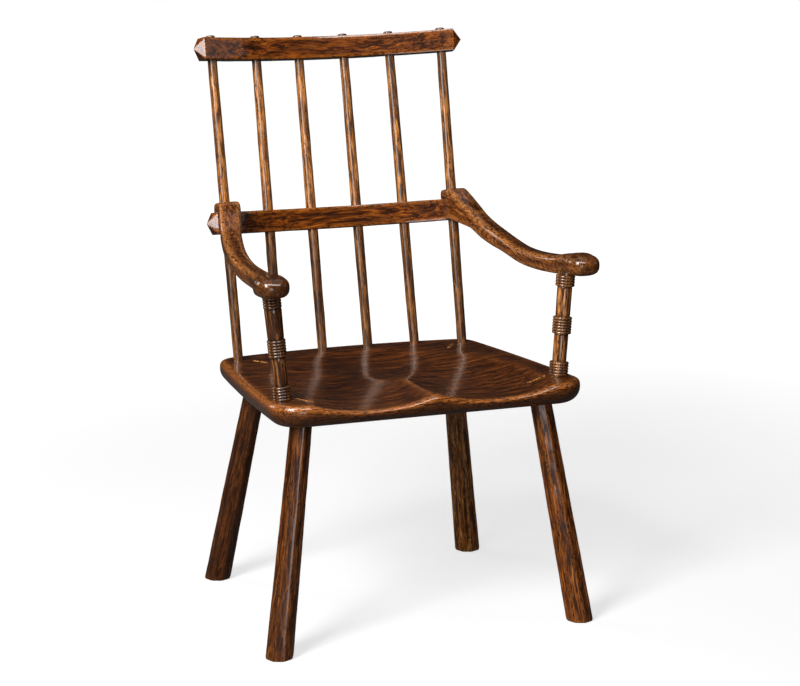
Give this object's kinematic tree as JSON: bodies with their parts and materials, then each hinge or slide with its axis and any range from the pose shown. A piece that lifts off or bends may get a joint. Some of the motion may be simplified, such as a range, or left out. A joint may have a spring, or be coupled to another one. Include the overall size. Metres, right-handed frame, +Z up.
{
  "type": "dining armchair",
  "caption": "Comb-back stick armchair of dark wood: a saddled plank seat on splayed eight-sided legs, a leaning back of round sticks, and curved arms on beaded posts.",
  "frame": {"origin": "middle of the bounding box at floor level", "axes": "+Z up, -Y towards the front edge of the seat, +X towards the sitter's left"},
  "size_m": [0.6504, 0.6542, 1.0513],
  "materials": {
    "seat_wood": "dark brown stained hardwood, worn amber on its edges, gloss wax",
    "leg_wood": "dark brown stained hardwood, satin wax",
    "rail_wood": "warm brown stained hardwood, satin wax",
    "arm_wood": "warm brown stained hardwood, gloss wax",
    "post_wood": "warm brown stained hardwood, gloss wax",
    "spindle_wood": "honey brown stained hardwood, satin wax",
    "wedge_wood": "paler hardwood, end grain"
  },
  "bodies": {
    "root": {"seat": "seat_wood", "leg_front_left": "leg_wood", "leg_front_right": "leg_wood", "leg_rear_left": "leg_wood", "leg_rear_right": "leg_wood", "leg_wedge_front_left": "wedge_wood", "leg_wedge_front_right": "wedge_wood", "leg_wedge_rear_left": "wedge_wood", "leg_wedge_rear_right": "wedge_wood", "spindle_1": "spindle_wood", "spindle_2": "spindle_wood", "spindle_3": "spindle_wood", "spindle_4": "spindle_wood", "spindle_5": "spindle_wood", "spindle_6": "spindle_wood", "spindle_wedge_1": "wedge_wood", "spindle_wedge_2": "wedge_wood", "spindle_wedge_3": "wedge_wood", "spindle_wedge_4": "wedge_wood", "spindle_wedge_5": "wedge_wood", "spindle_wedge_6": "wedge_wood", "crest_rail": "rail_wood", "middle_rail": "rail_wood", "arm_left": "arm_wood", "arm_right": "arm_wood", "arm_post_left": "post_wood", "arm_post_right": "post_wood"}
  },
  "joints": []
}
